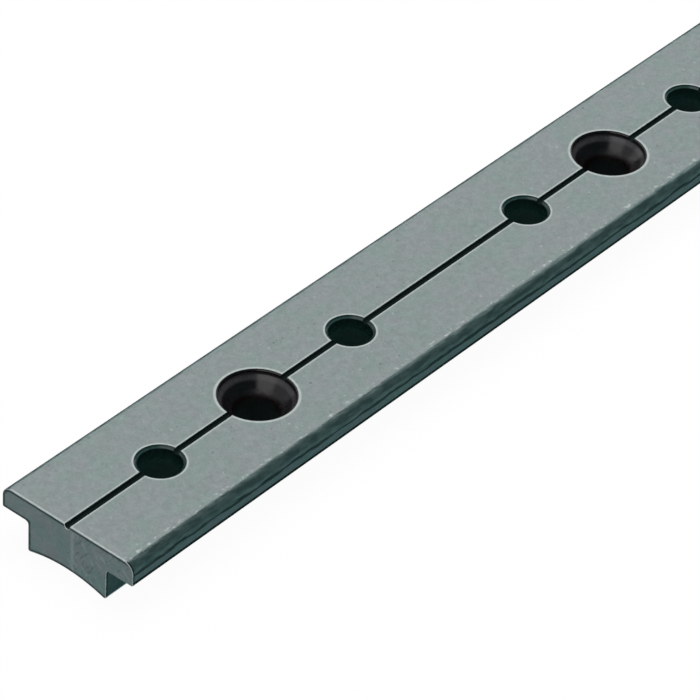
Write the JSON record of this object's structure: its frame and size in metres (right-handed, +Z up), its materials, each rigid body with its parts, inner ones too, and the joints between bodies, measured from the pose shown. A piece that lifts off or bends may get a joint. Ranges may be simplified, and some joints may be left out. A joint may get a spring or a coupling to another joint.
{
  "type": "sail track section",
  "caption": "Straight aluminium T-track with a flat rounded head, centre groove, arched web, plain stop holes and countersunk fastening holes.",
  "frame": {"origin": "under the middle of the track, on its centre line, at the level of its feet", "axes": "+X along the track away from the end nearest in the picture, +Y across the track, +Z up through the head"},
  "size_m": [0.996, 0.03, 0.011],
  "materials": {
    "anodised_aluminium": "matte satin grey anodising over a drawn extrusion, darker on the sawn ends and in the drilled holes"
  },
  "bodies": {
    "root": {"track": "anodised_aluminium"}
  },
  "joints": []
}
